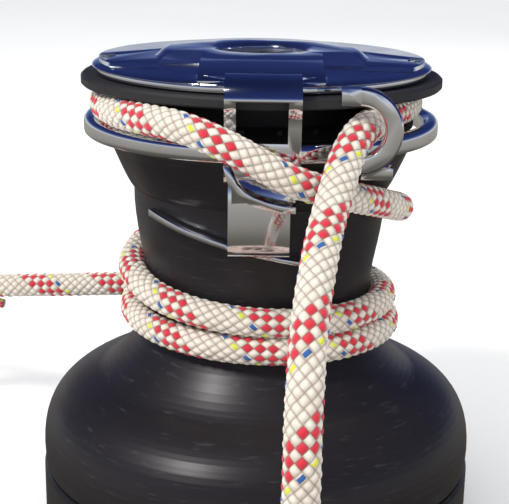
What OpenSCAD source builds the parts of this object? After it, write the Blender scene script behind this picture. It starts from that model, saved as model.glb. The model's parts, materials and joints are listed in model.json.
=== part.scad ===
// Two-speed self-tailing sailboat winch with a black drum, chrome crown and a line
// wound on it. Origin: centre of the base's underside, +Z up, millimetres.
// The feeder arm faces -Y. Angles run anticlockwise seen from above, from +X.

/* [Drum and base] */
// Diameter of the drum where the line's turns lie
drum_d = 80; // [78:0.5:80]
// Largest diameter of the drum's domed skirt
skirt_d = 156.4; // [154:0.2:157]
// Diameter of the mounting base
base_d = 157; // [156:0.5:158]
// Height of the base, up to the running gap under the skirt
base_h = 21.2; // [20.6:0.1:21.4]
// Bolt circle of the mounting holes
bolt_circle_d = 131; // [129:1:132]
// Mounting hole diameter (M8 clearance)
bolt_hole_d = 8.5; // [6.5:0.5:9]

/* [Crown] */
// Outer diameter of the chrome guide ring
ring_d = 122.6; // [122:0.2:123]
// Outer diameter of the upper jaw
jaw_d = 124; // [123:0.2:124.4]
// Outer diameter of the top cap
cap_d = 116.6; // [115:0.2:117]
// Height of the top cap's raised centre
top_z = 171; // [170.5:0.1:172]
// Width across the flats of the handle socket's two squares
socket_w = 17.5; // [17:0.1:18]

/* [Gears] */
// Gear module
tooth_m = 2; // [2]
// Teeth of the ring gear inside the drum
ring_teeth = 60; // [60]
// Teeth of the fast ratchet gear on the spindle
fast_teeth = 28; // [28]
// Teeth of each idler gear
idler_teeth = 12; // [12]
// Teeth of the slow drive gear on the spindle
drive_teeth = 13; // [13]
// Teeth of the slow ratchet gear
slow_teeth = 27; // [27]
// Teeth of the slow pinion
pinion_teeth = 20; // [20]

/* [Line] */
// Diameter of the line under load, as drawn here
line_d = 8.4; // [7:0.1:8.4]
// Diameter of the slack tail, as drawn here
tail_d = 10; // [8:0.5:10]

/* [Hidden] */
$fn = 96;

BLACK = [0.07, 0.07, 0.08];
CHROME = [0.80, 0.82, 0.85];
STEEL = [0.62, 0.63, 0.65];
BRONZE = [0.72, 0.55, 0.30];
NYLON = [0.12, 0.12, 0.13];
ROPE = [0.90, 0.87, 0.80];

drum_r = drum_d / 2;
skirt_r = skirt_d / 2;
ring_r = ring_d / 2;
jaw_r = jaw_d / 2;
cap_r = cap_d / 2;

// Heights of the gear layers and of the plates around them
plate_h = 6;
slow_z = 7.5;
fast_z = 17;
ring_z = 27.5;
gear_h = 8;
ring_gear_h = 10;
flange_z = 39;
flange_h = 5;
skirt_z = base_h + 0.8;

// Stem and bearings
stem_r = 27;
bore_r = 33.1;
shoulder_z = 57.5;
stem_top_z = 150;
cage_r = 30.05;
roller_r = 2.95;
roller_count = 14;
lower_bearing_z = 63;
upper_bearing_z = 116;
lower_bearing_h = 11;
upper_bearing_h = 16;

// Crown
drum_top_z = 141.5;
jaw_bore_r = 38;
lower_jaw_z = 145;
lower_jaw_r = 52.8;
guide_z = 142.3;
guide_in_r = 56.4;
guide_h = 6.4;
upper_jaw_z = 159;
upper_jaw_h = 3.6;
plate_z = 163.2;
cap_z = 165;
spring_count = 8;
spring_circle_r = 46;

// Feeder arm, in plan at the front
arm_left = -10.9;
arm_w = 23.1;
arm_in = 62.5;
foot_z = 137.2;
ring_screw_y = -58;
hook_x = 29.6;
hook_z = 153.4;
hook_y = -58.8;
blade_start = -140;
blade_end = -66;

CAP_SCREWS = [185, -6];
hook_screw_a = -52;
hook_screw_r = 58.8;
cap_screw_r = 52.6;

// Spindle
journal_r = 8;
shaft_r = 10;
head_r = 14.5;
head_z = 136;
carrier_r = 16.2;
pivot_r = 11.5;
pawl_l = 9.8;
pawl_swing = -65;
folded_swing = -89.5;

// Gear centres, as [radius, angle]
IDLER_A = [40, 150];
IDLER_B = [48, 180];
SLOW = [40, 0];

// Tooth phases that put every pair in mesh at rest
fast_phase = 0;
a_phase = mesh(IDLER_A[1], fast_phase, fast_teeth, idler_teeth);
ab_angle = atan2(at(IDLER_B)[1] - at(IDLER_A)[1], at(IDLER_B)[0] - at(IDLER_A)[0]);
b_phase = mesh(ab_angle, a_phase, idler_teeth, idler_teeth);
ring_gap_phase = IDLER_B[1] + (b_phase - IDLER_B[1]) * idler_teeth / ring_teeth;
pinion_phase = SLOW[1] + (ring_gap_phase - SLOW[1]) * ring_teeth / pinion_teeth;
drive_phase = 0;
slow_phase = mesh(SLOW[1], drive_phase, drive_teeth, slow_teeth);

// The line's route round the drum and jaws, as [angle, radius, height], clockwise
WRAP = [[77, 48.1, 72.6], [0, 46.9, 74.6], [-90, 45.8, 76.9], [-180, 45.4, 79.3],
    [-270, 45.1, 81.7], [-360, 45.1, 84.1], [-450, 45.1, 86.5], [-540, 45.8, 94.5],
    [-630, 47.4, 105], [-720, 49.2, 115.5], [-750, 52, 122], [-775, 58, 129],
    [-788, 64.5, 133.5], [-798, 69.4, 137.4], [-804, 70.2, 140.4], [-810, 69.6, 144.4],
    [-818, 70, 149.6], [-826, 68.2, 152.8], [-835, 65, 154.2], [-850, 61.4, 154],
    [-870, 57.4, 153.6], [-890, 54.4, 153.4], [-920, 52, 153.4], [-990, 51, 153.4],
    [-1105, 51, 153.4]];
wrap_step = 18;
// From the jaws, through the hook and down to the coil on the floor
TAIL = [[46.2, -21.6, 153.4], [39.5, -36, 153.4], [34.6, -47.5, 153.4], [30.6, -57, 152.6],
    [27.4, -63, 149.6], [24.9, -68, 145], [22.6, -74, 138.5], [19.2, -84, 129.5],
    [16.6, -95, 120.5], [14.6, -105, 110.5], [13.2, -115, 97], [12.6, -121, 82],
    [12.4, -124, 64], [11.4, -124.4, 50], [7, -124.2, 38.6], [-3, -123.4, 31.4],
    [-14, -124.4, 28]];
// The loaded line from the eye to the drum
LEAD = [[-113, 72.8, 60], [-98, 69.6, 61.5], [-44, 58, 67], [10.6, 46.6, 72.6]];
eye_at = 43;
eye_r = 15.5;
splice_l = 19;
coil_centre = [0, -158, 0];
coil_in_r = 32;
coil_out_r = 74;
coil_h = 31.5;
// The line's end lies beside the coil
end_y = coil_centre[1] - coil_out_r - tail_d / 2;
end_l = 18;
whipping_l = 13;

// ---- functions ----

function at(polar) = [polar[0] * cos(polar[1]), polar[0] * sin(polar[1])];

function bez(p0, p1, p2, p3, n) = [for (i = [0:n])
    let (t = i / n, s = 1 - t)
    s * s * s * p0 + 3 * s * s * t * p1 + 3 * s * t * t * p2 + t * t * t * p3];

// Point of a list of keys at the given value of their first entry, which falls
function key_span(keys, a, i = 0) =
    i >= len(keys) - 2 || keys[i + 1][0] <= a ? i : key_span(keys, a, i + 1);

function on_keys(keys, a) = let (
    i = key_span(keys, a),
    t = (a - keys[i][0]) / (keys[i + 1][0] - keys[i][0]))
    [a, keys[i][1] + (keys[i + 1][1] - keys[i][1]) * t,
        keys[i][2] + (keys[i + 1][2] - keys[i][2]) * t];

function polar_point(k) = [k[1] * cos(k[0]), k[1] * sin(k[0]), k[2]];

function unit(v) = v / norm(v);

function tangent(p, i) = unit(p[min(i + 1, len(p) - 1)] - p[max(i - 1, 0)]);

// Rings of a tube about a path, kept level by the world's up axis
function ring_points(p, r, sides, up) = [for (i = [0:len(p) - 1])
    let (t = tangent(p, i), u = unit(cross(up, t)), v = cross(t, u))
    for (k = [0:sides - 1])
    p[i] + r * (cos(360 * k / sides) * u + sin(360 * k / sides) * v)];

function side_faces(rings, sides) = [for (i = [0:rings - 2]) for (k = [0:sides - 1])
    [i * sides + k, (i + 1) * sides + k, (i + 1) * sides + (k + 1) % sides,
        i * sides + (k + 1) % sides]];

function inv(a) = tan(a) * 180 / PI - a;

// Half the angle that a tooth spans at radius r
function half_tooth(teeth, r, slack) = let (rp = tooth_m * teeth / 2, rb = rp * cos(20))
    90 / teeth - slack / rp * 180 / PI + inv(20) - (r > rb ? inv(acos(rb / r)) : 0);

function flank_radii(teeth, add, ded) = let (
    rp = tooth_m * teeth / 2, rb = rp * cos(20), low = max(rb, rp - ded), high = rp + add)
    concat(rp - ded < rb ? [rp - ded] : [], [for (i = [0:4]) low + (high - low) * i / 4]);

function gear_outline(teeth, add, ded, slack, phase) = let (
    radii = flank_radii(teeth, add, ded), n = len(radii) - 1)
    [for (tooth = [0:teeth - 1]) let (c = phase + 360 * tooth / teeth) each concat(
        [for (i = [0:n]) at([radii[i], c - half_tooth(teeth, radii[i], slack)])],
        [for (i = [n:-1:0]) at([radii[i], c + half_tooth(teeth, radii[i], slack)])])];

// Phase of a gear whose centre lies at angle a from its partner's
function mesh(a, phase, teeth, mate_teeth) =
    a + 180 + 180 / mate_teeth + (a - phase) * teeth / mate_teeth;

// ---- shared shapes ----

module tube(path, r, sides, up = [0, 0, 1]) {
    n = len(path);
    polyhedron(
        points = ring_points(path, r, sides, up),
        faces = concat(side_faces(n, sides), [[for (k = [0:sides - 1]) k]],
            [[for (k = [sides - 1:-1:0]) (n - 1) * sides + k]]));
}

module pipe(r_out, r_in, h) {
    rotate_extrude() translate([r_in, 0]) square([r_out - r_in, h]);
}

module around(count, r, start = 0) {
    for (i = [0:count - 1]) rotate([0, 0, start + 360 * i / count]) translate([r, 0, 0]) children();
}

module external_gear(teeth, h, phase) {
    linear_extrude(h) polygon(gear_outline(teeth, 0.8 * tooth_m, 1.05 * tooth_m, 0.1, phase));
}

// Cap-head screw, head at the top, its underside at the origin
module cap_screw(d, l) {
    difference() {
        union() {
            translate([0, 0, -l]) cylinder(h = l, d = d, $fn = 24);
            cylinder(h = d * 0.9, d = d * 1.6, $fn = 32);
        }
        translate([0, 0, d * 0.35]) cylinder(h = d, d = d * 0.9, $fn = 6);
    }
}

module pawl_outline(grow) {
    circle(r = 2.2 + grow, $fn = 32);
    polygon([[0, -1.7 - grow], [8.4 + grow * 2, -1.7 - grow], [pawl_l + grow, 0.6 + grow],
        [9.3 + grow, 1.3 + grow], [0, 1.3 + grow]]);
}

module pawl(swing, z) {
    translate([pivot_r, 0, z + 1.4]) rotate([0, 0, swing]) linear_extrude(6.2) difference() {
        pawl_outline(0);
        circle(r = 1.22, $fn = 32);
    }
}

// Disc that carries two pawls, with pockets over their whole swing
module pawl_disc(z, hole_r) {
    difference() {
        translate([0, 0, z]) cylinder(h = gear_h, r = carrier_r);
        translate([0, 0, z - 1]) cylinder(h = gear_h + 2, r = hole_r);
        for (side = [0, 180]) for (swing = [pawl_swing:-4:folded_swing - 6])
            rotate([0, 0, side]) translate([pivot_r, 0, z + 1]) rotate([0, 0, swing])
                linear_extrude(gear_h) pawl_outline(0.35);
    }
}

module pawl_pins(z) {
    for (side = [0, 180]) rotate([0, 0, side]) translate([pivot_r, 0, z + 1])
        cylinder(h = gear_h - 1.2, r = 1.15, $fn = 32);
}

module pawl_springs(z) {
    for (side = [0, 180]) rotate([0, 0, side]) translate([pivot_r, 0, z + 1.2]) {
        rotate([0, 0, 30]) rotate_extrude(angle = 300, $fn = 48)
            translate([1.75, 0]) square([0.5, 0.12]);
    }
}

// Gear with saw teeth in its bore for the pawls to push on
module ratchet_gear(teeth, z, phase) {
    saw = [for (i = [0:11]) each [at([carrier_r + 0.15, 30 * i - 38]),
        at([19.4, 30 * i - 37]), at([18.8, 30 * i - 21]), at([carrier_r + 0.15, 30 * i - 10])]];
    translate([0, 0, z]) linear_extrude(gear_h) difference() {
        polygon(gear_outline(teeth, 0.8 * tooth_m, 1.05 * tooth_m, 0.1, phase));
        polygon(saw);
    }
}

module plain_gear(teeth, z, h, hole_r, phase) {
    difference() {
        translate([0, 0, z]) external_gear(teeth, h, phase);
        translate([0, 0, z - 1]) cylinder(h = h + 2, r = hole_r, $fn = 48);
    }
}

module rollers(z, h) {
    translate([0, 0, z]) around(roller_count, cage_r) cylinder(h = h, r = roller_r, $fn = 32);
}

module cage(z, h) {
    difference() {
        translate([0, 0, z - 1.5]) pipe(31.6, 28.5, h + 3);
        translate([0, 0, z - 0.2]) around(roller_count, cage_r)
            cylinder(h = h + 0.4, r = roller_r + 0.12, $fn = 32);
    }
}

// ---- fixed parts ----

module base() {
    color(BLACK) difference() {
        union() {
            rotate_extrude() polygon(concat([[0, 0], [base_d / 2 - 1.5, 0], [base_d / 2, 1.5]],
                [[base_d / 2, base_h - 1], [base_d / 2 - 1, base_h], [72, base_h], [72, plate_h],
                [0, plate_h]]));
            cylinder(h = plate_h + 1, r = 12);
            for (a = [65, 115, 245, 295]) rotate([0, 0, a]) translate([46, 0, 0])
                cylinder(h = flange_z, r = 7);
        }
        translate([0, 0, 1.5]) cylinder(h = 20, r = 10.5);
        translate([0, 0, -1]) around(5, bolt_circle_d / 2, 36) cylinder(h = 20, d = bolt_hole_d);
        for (a = [65, 115, 245, 295]) rotate([0, 0, a]) translate([46, 0, flange_z - 16])
            cylinder(h = 20, r = 3, $fn = 32);
        for (c = [IDLER_A, IDLER_B]) translate(concat(at(c), 2)) cylinder(h = 20, r = 4, $fn = 48);
        translate(concat(at(SLOW), 2)) cylinder(h = 20, r = 5, $fn = 48);
    }
}

module centre_stem() {
    color(STEEL) difference() {
        rotate_extrude() polygon([[13, flange_z], [56, flange_z], [56, flange_z + flange_h],
            [36, flange_z + flange_h], [32, flange_z + flange_h + 4], [32, shoulder_z],
            [stem_r, shoulder_z], [stem_r, stem_top_z], [15.3, stem_top_z], [15.3, 134],
            [13, 134]]);
        for (a = [65, 115, 245, 295]) rotate([0, 0, a]) translate([46, 0, flange_z - 1])
            cylinder(h = 20, r = 3.3, $fn = 32);
        for (c = [IDLER_A, IDLER_B]) translate(concat(at(c), flange_z - 1))
            cylinder(h = flange_h, r = 4, $fn = 48);
        translate(concat(at(SLOW), flange_z - 1)) cylinder(h = flange_h, r = 5, $fn = 48);
        translate([0, 0, stem_top_z - 12]) around(4, 21.5, 45) cylinder(h = 20, r = 2, $fn = 32);
    }
}

module stem_screws() {
    color(STEEL) for (a = [65, 115, 245, 295]) rotate([0, 0, a])
        translate([46, 0, flange_z + flange_h]) cap_screw(6, 20);
}

module lower_bush() {
    color(NYLON) translate([0, 0, 1.5]) pipe(10.5, journal_r + 0.05, 5.5);
}

module upper_bush() {
    color(NYLON) translate([0, 0, 120]) pipe(13, shaft_r + 0.05, 14);
}

module idler_shaft(centre) {
    color(STEEL) translate(concat(at(centre), 2)) cylinder(h = 41, r = 4, $fn = 48);
}

module idler_shaft_a() {
    idler_shaft(IDLER_A);
}

module idler_shaft_b() {
    idler_shaft(IDLER_B);
}

module slow_gear_shaft() {
    color(STEEL) translate(concat(at(SLOW), 2)) cylinder(h = 41, r = 5, $fn = 48);
}

module thrust_washer() {
    color(NYLON) translate([0, 0, shoulder_z]) pipe(31.9, stem_r + 0.1, 1.9);
}

module bearing_spacer() {
    color(NYLON) translate([0, 0, 77]) pipe(31.4, stem_r + 0.1, 36);
}

module feeder_arm() {
    color(CHROME) difference() {
        union() {
            translate([0, 0, stem_top_z]) cylinder(h = 14, r = 31);
            translate([0, 0, plate_z]) cylinder(h = cap_z - plate_z, r = 57);
            // Side profile of the arm, over the jaws and down under the guide ring
            translate([arm_left + arm_w, 0, 0]) rotate([90, 0, -90]) linear_extrude(arm_w) polygon(concat(
                [[52, plate_z], [arm_in - 0.6, plate_z], [arm_in, plate_z - 0.8]],
                [[arm_in, guide_z + guide_h], [61.4, guide_z + guide_h - 2], [61.4, guide_z], [55, guide_z]],
                [[55, foot_z], [arm_in + 0.6, foot_z]],
                bez([64, 139.4], [64, 142], [64, 148], [64, 154], 4),
                bez([64.4, 157], [67.2, 159.5], [68.4, 166], [62, 168.7], 6),
                [[56, 169.2], [52, cap_z]]));
            // Lip of the saddle, level under the line and turned up at its left end
            translate([0, -62.6, 0]) rotate([90, 0, 0]) linear_extrude(8.7) polygon(concat(
                bez([10.8, 131.6], [5, 132.6], [-2.5, 133.2], [-6.8, 138.4], 6),
                [[-9.3, 143.6], [-10.9, 143.8]],
                bez([-9.3, 138.2], [-5, 131.4], [1, 130.6], [10.8, 129.8], 6)));
            translate([-8.5, -64, 131]) cube([19.3, 3.2, 7]);
        }
        translate([0, 0, stem_top_z - 1]) cylinder(h = 30, r = 15.3);
        translate([0, 0, 155]) around(4, 21.5, 45) cylinder(h = 20, r = 3.4, $fn = 32);
        translate([0, 0, 140]) around(4, 21.5, 45) cylinder(h = 20, r = 2, $fn = 32);
        for (a = CAP_SCREWS) rotate([0, 0, a]) translate([cap_screw_r, 0, 150])
            cylinder(h = 30, r = 1.5, $fn = 32);
        // Window through the arm's upright
        translate([-7.4, -82, 149.4]) cube([15.6, 26, 12.8]);
        for (x = [-6, 6]) translate([x, ring_screw_y, 130]) cylinder(h = 20, r = 1.5, $fn = 32);
    }
}

module arm_screws() {
    color(STEEL) translate([0, 0, 155]) around(4, 21.5, 45) cap_screw(4, 16);
}

// Plan of the cap's raised top: the disc less its two front corners
module cap_plateau() {
    difference() {
        circle(r = cap_r - 2.6);
        for (side = [-1, 1]) {
            translate([side * 58, -76]) square([50, 100], center = true);
            translate([side * 27, -64]) square([14, 100], center = true);
        }
    }
}

module top_cap() {
    rim_z = cap_z + 1.7;
    mid_z = cap_z + 3;
    color(CHROME) difference() {
        union() {
            rotate_extrude() polygon(concat([[15.3, cap_z]],
                bez([cap_r - 0.8, cap_z], [cap_r + 0.2, cap_z], [cap_r + 0.1, cap_z + 0.8],
                    [cap_r - 1, cap_z + 1.2], 6),
                [[cap_r - 2.4, rim_z], [15.3, rim_z]]));
            translate([0, 0, rim_z - 0.5]) linear_extrude(mid_z - rim_z + 0.5) cap_plateau();
            rotate_extrude() polygon(concat([[15.3, cap_z + 1], [37, cap_z + 1]],
                bez([36.6, mid_z], [35.6, mid_z + 0.2], [34.6, top_z - 0.4], [32, top_z - 0.2], 5),
                [[18, top_z], [16, top_z - 0.4], [15.3, top_z - 1.4]]));
            // Tongue that runs forward over the arm's root
            translate([19.4, 0, 0]) rotate([90, 0, -90]) linear_extrude(38.8) polygon(concat(
                [[20, cap_z + 1], [20, top_z - 0.2], [34, top_z - 0.3]],
                bez([38, top_z - 0.4], [45, top_z - 0.8], [51, top_z - 1.4], [55.4, cap_z + 1.7], 5),
                [[55.4, cap_z + 1]]));
        }
        translate([0, 0, cap_z - 1]) cylinder(h = 10, r = 15.3);
        for (side = [-1, 1]) translate([side * 27, -64, rim_z + 5]) cube([14, 100, 10], center = true);
        translate([arm_left - 0.01, -82, cap_z - 1]) cube([arm_w + 0.02, 30, 10]);
        for (a = CAP_SCREWS) rotate([0, 0, a]) translate([cap_screw_r, 0, cap_z - 1]) {
            cylinder(h = 20, r = 1.5, $fn = 32);
            translate([0, 0, 3]) cylinder(h = 20, r = 2.6, $fn = 32);
        }
    }
}

module cap_screws() {
    color(STEEL) for (a = CAP_SCREWS) rotate([0, 0, a]) translate([cap_screw_r, 0, 0]) difference() {
        union() {
            translate([0, 0, plate_z]) cylinder(h = 4, r = 1.5, $fn = 32);
            translate([0, 0, cap_z + 2]) cylinder(h = 1.2, r = 2.6, $fn = 32);
        }
        translate([0, 0, cap_z + 2.7]) cylinder(h = 2, r = 1.3, $fn = 6);
    }
}

module guide_ring() {
    color(CHROME) difference() {
        rotate_extrude() polygon(concat([[guide_in_r, guide_z]],
            bez([ring_r - 1.6, guide_z], [ring_r, guide_z], [ring_r, guide_z + 1],
                [ring_r, guide_z + 2], 4),
            bez([ring_r, guide_z + 4], [ring_r, guide_z + 5.6], [ring_r - 1, guide_z + guide_h],
                [ring_r - 2.4, guide_z + guide_h], 4),
            [[guide_in_r + 1.5, guide_z + guide_h], [guide_in_r, guide_z + guide_h - 1.4]]));
        for (x = [-6, 6]) translate([x, ring_screw_y, guide_z - 1]) cylinder(h = 5, r = 1.5, $fn = 32);
        rotate([0, 0, hook_screw_a]) translate([hook_screw_r, 0, guide_z - 1])
            cylinder(h = 5, r = 1.5, $fn = 32);
    }
}

module ring_screws() {
    color(STEEL) for (x = [-6, 6]) translate([x, ring_screw_y, foot_z])
        cylinder(h = guide_z + 4 - foot_z, r = 1.5, $fn = 32);
}

module saddle_block() {
    color(CHROME) difference() {
        translate([9.5, 0, 0]) rotate([90, 0, -90]) linear_extrude(19.2) polygon(concat(
            [[53.6, foot_z], [53.4, 131], [49.6, 124], [46.6, 119.6]],
            [[46.6, 114], [49, 112], [55, 112]],
            bez([56, 112], [58.2, 112.3], [59.4, 114], [59.6, 117], 4),
            [[59.6, foot_z]]));
        for (x = [-6, 6]) translate([x, ring_screw_y, 130]) cylinder(h = 12, r = 1.5, $fn = 32);
    }
}

// Helical strip that keeps the incoming turns off the outgoing one
module guide_blade() {
    steps = 14;
    function blade_ring(i) = let (
        f = i / steps,
        a = blade_start + (blade_end - blade_start) * f,
        z = 118.4 - 13.6 * f, t = 2.4 - 1.2 * f)
        [polar_point([a, 45.2, z]), polar_point([a, 45.2, z + t]), polar_point([a, 48, z + t]),
            polar_point([a, 48, z])];
    color(CHROME) difference() {
        polyhedron(
            points = [for (i = [0:steps]) each blade_ring(i)],
            faces = concat(side_faces(steps + 1, 4), [[for (k = [0:3]) k]],
                [[for (k = [3:-1:0]) steps * 4 + k]]));
        translate([-9.7, -60, 111.99]) cube([19.2, 13.4, 10]);
    }
}

module line_hook() {
    inner = 7.7;
    outer = 13;
    tip_x = 23.8;
    color(CHROME) difference() {
        union() {
            translate([hook_x, hook_y, hook_z]) rotate([90, 0, 0]) rotate_extrude()
                polygon([[inner + 0.5, 0], [outer - 0.6, 0], [outer, 0.6], [outer, 4.2],
                    [outer - 0.6, 4.8], [inner + 0.5, 4.8], [inner, 4.2], [inner, 0.6]]);
            translate([tip_x, hook_y - 4.8, hook_z + inner]) cube([hook_x - tip_x, 4.8, outer - inner]);
            // Foot that runs back under the guide ring
            translate([30.4, hook_y - 3.6, foot_z + 1.4]) cube([9.6, 20, guide_z - foot_z - 1.4]);
        }
        // Mouth of the hook, open to the left
        translate([hook_x - 30, hook_y - 10, hook_z - outer]) cube([30, 20, outer + inner]);
        translate([tip_x - 30, hook_y - 10, hook_z + inner - 0.01]) cube([30, 20, 20]);
        translate([0, 0, 130]) cylinder(h = 20, r = guide_in_r);
        rotate([0, 0, hook_screw_a]) translate([hook_screw_r, 0, 130]) cylinder(h = 20, r = 1.5, $fn = 32);
    }
}

module hook_screw() {
    color(STEEL) rotate([0, 0, hook_screw_a]) translate([hook_screw_r, 0, foot_z + 1.4])
        cylinder(h = guide_z + 2.6 - foot_z, r = 1.5, $fn = 32);
}

// ---- parts that turn with the drum ----

function drum_outside() = concat(
    [[skirt_r - 1.6, skirt_z], [skirt_r - 0.3, skirt_z + 0.9]],
    bez([skirt_r, 29], [skirt_r, 44.7], [skirt_r - 7.5, 50], [60, 54], 14),
    bez([58, 54.7], [53.2, 56.5], [drum_r, 70.4], [drum_r, 81.4], 12),
    bez([drum_r, 88], [drum_r + 0.6, 98], [drum_r + 4.6, 109], [44.4, 123.2], 8),
    bez([44.5, 123.6], [46, 124.2], [48.8, 131], [51.4, 137], 8),
    [[lower_jaw_r, 139.6], [lower_jaw_r, drum_top_z - 0.6], [lower_jaw_r - 0.6, drum_top_z]]);

function drum_inside() = [[bore_r, drum_top_z], [bore_r, upper_bearing_z - 2.5],
    [36, upper_bearing_z - 5], [36, 84], [bore_r, 81], [bore_r, 62], [27.6, 62],
    [27.6, shoulder_z + 2.1], [36, shoulder_z + 2.1], [44, 56.4], [58, 48.6], [66, 45.4],
    [69, 41], [66, 38], [66, skirt_z]];

module drum() {
    color(BLACK) difference() {
        rotate_extrude($fn = 180) polygon(concat(drum_outside(), drum_inside()));
        translate([0, 0, drum_top_z - 5]) around(spring_count, spring_circle_r)
            cylinder(h = 10, r = 3.3, $fn = 32);
        translate([0, 0, drum_top_z - 8]) around(6, 35.7, 30) cylinder(h = 10, r = 1.25, $fn = 24);
        translate([0, 0, ring_z + 2]) around(6, 64.2, 15) cylinder(h = ring_gear_h + 4, r = 1.25, $fn = 24);
    }
}

module ring_gear() {
    color(BRONZE) difference() {
        translate([0, 0, ring_z]) cylinder(h = ring_gear_h, r = 66);
        translate([0, 0, ring_z - 1]) linear_extrude(ring_gear_h + 2)
            polygon(gear_outline(ring_teeth, 1.05 * tooth_m, 0.8 * tooth_m, -0.1, ring_gap_phase));
        translate([0, 0, ring_z - 1]) around(6, 64.2, 15) cylinder(h = ring_gear_h + 2, r = 1.25, $fn = 24);
    }
}

module ring_gear_screws() {
    color(STEEL) translate([0, 0, ring_z]) around(6, 64.2, 15)
        cylinder(h = ring_gear_h + 1.5, r = 1.25, $fn = 24);
}

module jaw_carrier() {
    color(NYLON) difference() {
        translate([0, 0, drum_top_z]) pipe(jaw_bore_r, 33.5, upper_jaw_z - drum_top_z);
        translate([0, 0, drum_top_z - 1]) around(6, 35.7, 30) cylinder(h = 40, r = 1.25, $fn = 24);
    }
}

module carrier_screws() {
    color(STEEL) translate([0, 0, drum_top_z - 7]) around(6, 35.7, 30)
        cylinder(h = upper_jaw_z - drum_top_z + 7, r = 1.25, $fn = 24);
}

module upper_jaw() {
    color(NYLON) difference() {
        union() {
            rotate_extrude($fn = 180) polygon([[33.5, upper_jaw_z], [40, upper_jaw_z - 1.4],
                [46, upper_jaw_z - 0.6], [jaw_r - 0.6, upper_jaw_z], [jaw_r, upper_jaw_z + 0.6],
                [jaw_r, upper_jaw_z + 2.8], [jaw_r - 0.8, upper_jaw_z + upper_jaw_h],
                [33.5, upper_jaw_z + upper_jaw_h]]);
            around(24, 41, 7.5) translate([0, -0.8, upper_jaw_z - 2.2]) cube([5, 1.6, 3]);
        }
        translate([0, 0, upper_jaw_z - 3]) cylinder(h = 3, r = jaw_bore_r + 0.3);
        translate([0, 0, upper_jaw_z - 1]) around(6, 35.7, 0) cylinder(h = 6, r = 1.25, $fn = 24);
    }
}

module upper_jaw_screws() {
    color(STEEL) translate([0, 0, upper_jaw_z]) around(6, 35.7, 0)
        cylinder(h = upper_jaw_h, r = 1.25, $fn = 24);
}

module jaw_springs() {
    z = drum_top_z - 5;
    turns = 3;
    rise = lower_jaw_z - z - 1;
    coil = [for (i = [0:30]) [2.3 * cos(12 * turns * i), 2.3 * sin(12 * turns * i), rise * i / 30]];
    color(STEEL) translate([0, 0, z + 0.5]) around(spring_count, spring_circle_r) tube(coil, 0.45, 5);
}

module lower_jaw() {
    color(NYLON) union() {
        rotate_extrude($fn = 180) polygon([[jaw_bore_r + 0.3, lower_jaw_z], [lower_jaw_r - 1, lower_jaw_z],
            [lower_jaw_r, lower_jaw_z + 1], [lower_jaw_r, lower_jaw_z + 2.8],
            [46, lower_jaw_z + 3.5], [40, lower_jaw_z + 4.8], [jaw_bore_r + 0.3, lower_jaw_z + 4.8]]);
        around(24, 40.6, 7.5) translate([0, -0.8, lower_jaw_z + 2]) cube([5, 1.6, 3.1]);
    }
}

// ---- bearings ----

module lower_cage() {
    color(NYLON) cage(lower_bearing_z + 1.5, lower_bearing_h - 3);
}

module lower_rollers() {
    color(STEEL) rollers(lower_bearing_z + 1.5, lower_bearing_h - 3);
}

module upper_cage() {
    color(NYLON) cage(upper_bearing_z + 1.5, upper_bearing_h - 3);
}

module upper_rollers() {
    color(STEEL) rollers(upper_bearing_z + 1.5, upper_bearing_h - 3);
}

// ---- spindle and gears ----

module main_spindle() {
    color(STEEL) difference() {
        union() {
            translate([0, 0, 1.8]) cylinder(h = 25, r = journal_r);
            translate([0, 0, 26]) cylinder(h = head_z - 26, r = shaft_r);
            translate([0, 0, head_z]) cylinder(h = top_z - 2.6 - head_z, r = head_r);
        }
        for (a = [0, 45]) rotate([0, 0, a]) translate([0, 0, top_z - 32 + 15])
            translate([-socket_w / 2, -socket_w / 2, -15]) cube([socket_w, socket_w, 40]);
    }
}

module slow_drive_gear() {
    color(BRONZE) plain_gear(drive_teeth, slow_z, gear_h, journal_r, drive_phase);
}

module fast_pawl_carrier() {
    color(STEEL) pawl_disc(fast_z, journal_r);
}

module fast_pawl_pins() {
    color(STEEL) pawl_pins(fast_z);
}

module fast_pawl_springs() {
    color(STEEL) pawl_springs(fast_z);
}

module fast_ratchet_gear() {
    color(BRONZE) ratchet_gear(fast_teeth, fast_z, fast_phase);
}

module fast_pawl_a() {
    color(STEEL) pawl(pawl_swing, fast_z);
}

module fast_pawl_b() {
    color(STEEL) rotate([0, 0, 180]) pawl(pawl_swing, fast_z);
}

module idler_gear_a() {
    color(BRONZE) translate(at(IDLER_A)) plain_gear(idler_teeth, fast_z, gear_h, 4.06, a_phase);
}

module idler_gear_b() {
    color(BRONZE) translate(at(IDLER_B))
        plain_gear(idler_teeth, fast_z, ring_z + ring_gear_h - fast_z, 4.06, b_phase);
}

module slow_ratchet_gear() {
    color(BRONZE) translate(at(SLOW)) ratchet_gear(slow_teeth, slow_z, slow_phase);
}

module slow_pinion() {
    color(STEEL) translate(at(SLOW)) {
        pawl_disc(slow_z, 5.06);
        translate([0, 0, slow_z + gear_h]) pipe(9, 5.06, ring_z - slow_z - gear_h);
        plain_gear(pinion_teeth, ring_z, ring_gear_h, 5.06, pinion_phase);
    }
}

module slow_pawl_pins() {
    color(STEEL) translate(at(SLOW)) pawl_pins(slow_z);
}

module slow_pawl_springs() {
    color(STEEL) translate(at(SLOW)) pawl_springs(slow_z);
}

module slow_pawl_a() {
    color(STEEL) translate(at(SLOW)) pawl(folded_swing, slow_z);
}

module slow_pawl_b() {
    color(STEEL) translate(at(SLOW)) rotate([0, 0, 180]) pawl(folded_swing, slow_z);
}

// ---- the line ----

module line_wound() {
    first = WRAP[0][0];
    last = WRAP[len(WRAP) - 1][0];
    round_drum = [for (a = [first:-wrap_step:last + 6]) polar_point(on_keys(WRAP, a))];
    leaving = [for (i = [0:4]) TAIL[i]];
    color(ROPE) tube(concat(round_drum, leaving), line_d / 2, 10);
}

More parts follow.
